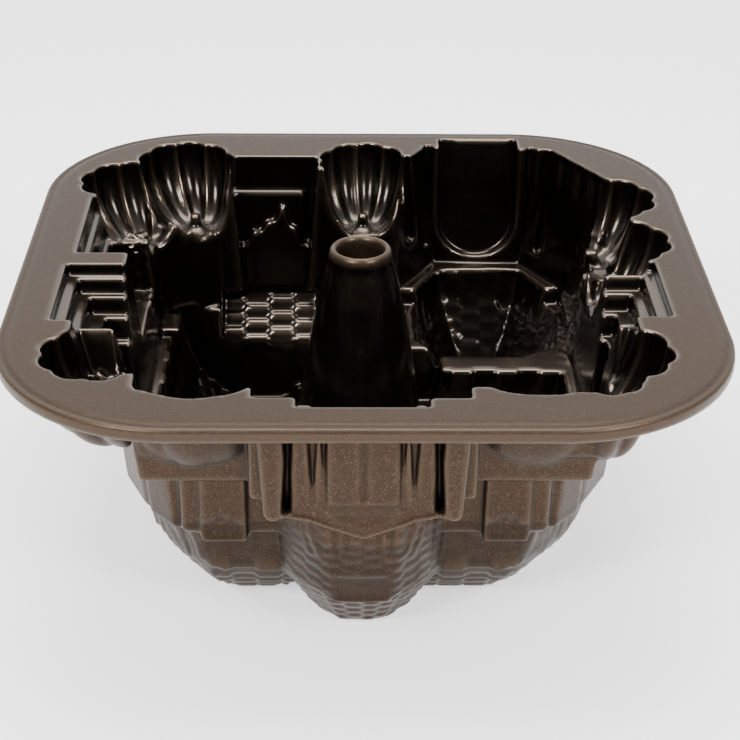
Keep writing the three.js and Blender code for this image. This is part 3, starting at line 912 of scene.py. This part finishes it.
def plain_material(name, colour, rough, glow):
    material = bpy.data.materials.new(name)
    material.use_nodes = True
    tree = material.node_tree
    shader = tree.nodes["Principled BSDF"]
    place = node(tree, "ShaderNodeTexCoord").outputs["Object"]
    soft = node(tree, "ShaderNodeTexNoise", Scale=3.0, Detail=2.0)
    tree.links.new(place, soft.inputs["Vector"])
    darker = tuple(channel * 0.99 for channel in colour)
    tree.links.new(blend(tree, soft.outputs["Fac"], colour, darker), shader.inputs["Base Color"])
    shader.inputs["Roughness"].default_value = rough
    shader.inputs["Emission Color"].default_value = (1, 1, 1, 1)
    shader.inputs["Emission Strength"].default_value = glow
    return material


# ---- the pan ----
metal, cavity = cast_field()
slopes = np.gradient(metal.values)
bends = sum(np.gradient(slope, axis=axis) for axis, slope in enumerate(slopes)) / VOXEL
pieces = part_pan(whole_pan(metal))
# One coating in graded copies: the roofs, lowest and nearest the floor, get a darker copy
# (painted shade); the rim and tube, on top, a lighter copy (painted light).
ROOF_BROWN_SHADED = ((0.0185, 0.0108, 0.006), (0.0265, 0.0158, 0.0092), (0.09, 0.06, 0.04))
WALL_BROWN = ((0.0265, 0.0158, 0.0092), (0.038, 0.0232, 0.0142), (0.12, 0.082, 0.054))
RIM_BROWN_LIT = ((0.036, 0.0225, 0.014), (0.045, 0.029, 0.0188), (0.12, 0.086, 0.06))
COATINGS = {
    "rim_coating": coating("rim_coating", RIM_BROWN_LIT, 0.35, 0.4),
    "tube_coating": coating("tube_coating", RIM_BROWN_LIT, 0.3, 0.36),
    "wall_coating": coating("wall_coating", WALL_BROWN, 0.6, 0.42),
    "roof_coating": coating("roof_coating", ROOF_BROWN_SHADED, 0.6, 0.42),
}
for name, thing in pieces.items():
    finish_piece(thing, metal, slopes, bends, cavity)
    slot = {"rim_flange": "rim_coating", "centre_tube": "tube_coating"}.get(name)
    slot = slot or ("wall_coating" if name in WALLS else "roof_coating")
    thing.data.materials.clear()
    thing.data.materials.append(COATINGS[slot])
    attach(thing, "root")
    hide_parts(name)

# ---- floor, lights, camera ----
floor = mesh_object("floor", np.array([(-6000, -3000, FLOOR_Z), (6000, -3000, FLOOR_Z),
                                       (6000, 9000, FLOOR_Z), (-6000, 9000, FLOOR_Z)], float),
                    np.array([0, 1, 2, 3], np.int32), [4])
floor.data.materials.append(plain_material("floor_paper", (0.93, 0.93, 0.93), 0.7, FLOOR_GLOW))

world = bpy.data.worlds.new("studio")
bpy.context.scene.world = world
world.use_nodes = True
tree = world.node_tree
side = node(tree, "ShaderNodeSeparateXYZ")
tree.links.new(node(tree, "ShaderNodeTexCoord").outputs["Generated"], side.inputs["Vector"])
behind = node(tree, "ShaderNodeMath", operation="MULTIPLY_ADD")
behind.inputs[1].default_value = 0.8
tree.links.new(side.outputs["Y"], behind.inputs[0])
tree.links.new(side.outputs["Z"], behind.inputs[2])
tree.nodes["Background"].inputs["Color"].default_value = (1, 1, 1, 1)
tree.links.new(ramp(tree, behind.outputs["Value"], 0.25, 1.0, 0.1, 1.9),
               tree.nodes["Background"].inputs["Strength"])


def area_light(name, place, target, width, height, power):
    data = bpy.data.lights.new(name, "AREA")
    data.shape = "RECTANGLE"
    data.size, data.size_y, data.energy = width, height, power
    lamp = bpy.data.objects.new(name, data)
    lamp.location = place
    aim = Vector(target) - Vector(place)
    lamp.rotation_euler = aim.to_track_quat("-Z", "Y").to_euler()
    bpy.context.scene.collection.objects.link(lamp)


area_light("overhead", (0.0, 0.2, 1.3), (0, 0, 0.06), 1.0, 0.6, 20)
area_light("front_left", (-1.0, -1.3, 1.3), (0, 0, 0.05), 0.6, 0.6, 40)
area_light("front_right", (1.1, -1.2, 1.2), (0, 0, 0.05), 0.5, 0.6, 30)

CAMERA_TARGET = Vector((3.03, 1.5, 60.4)) * MM
CAMERA_DISTANCE = 0.75
CAMERA_LENS, CAMERA_SENSOR = 89.5, 36
CAMERA_ELEVATION = math.radians(28.8)
CAMERA_TURN = math.radians(-1.15)
CAMERA_ROLL = math.radians(0.62)
back = Vector((math.sin(CAMERA_TURN) * math.cos(CAMERA_ELEVATION),
               -math.cos(CAMERA_TURN) * math.cos(CAMERA_ELEVATION), math.sin(CAMERA_ELEVATION)))
camera = bpy.data.objects.new("camera", bpy.data.cameras.new("camera"))
camera.data.lens, camera.data.sensor_width = CAMERA_LENS, CAMERA_SENSOR
camera.data.clip_start, camera.data.clip_end = 0.01, 100
camera.location = CAMERA_TARGET + back * CAMERA_DISTANCE
turn = (-back).to_track_quat("-Z", "Y")
roll = turn @ Vector((0, 0, 1))
camera.rotation_mode = "QUATERNION"
camera.rotation_quaternion = Quaternion(roll, CAMERA_ROLL) @ turn
bpy.context.scene.collection.objects.link(camera)
bpy.context.scene.camera = camera
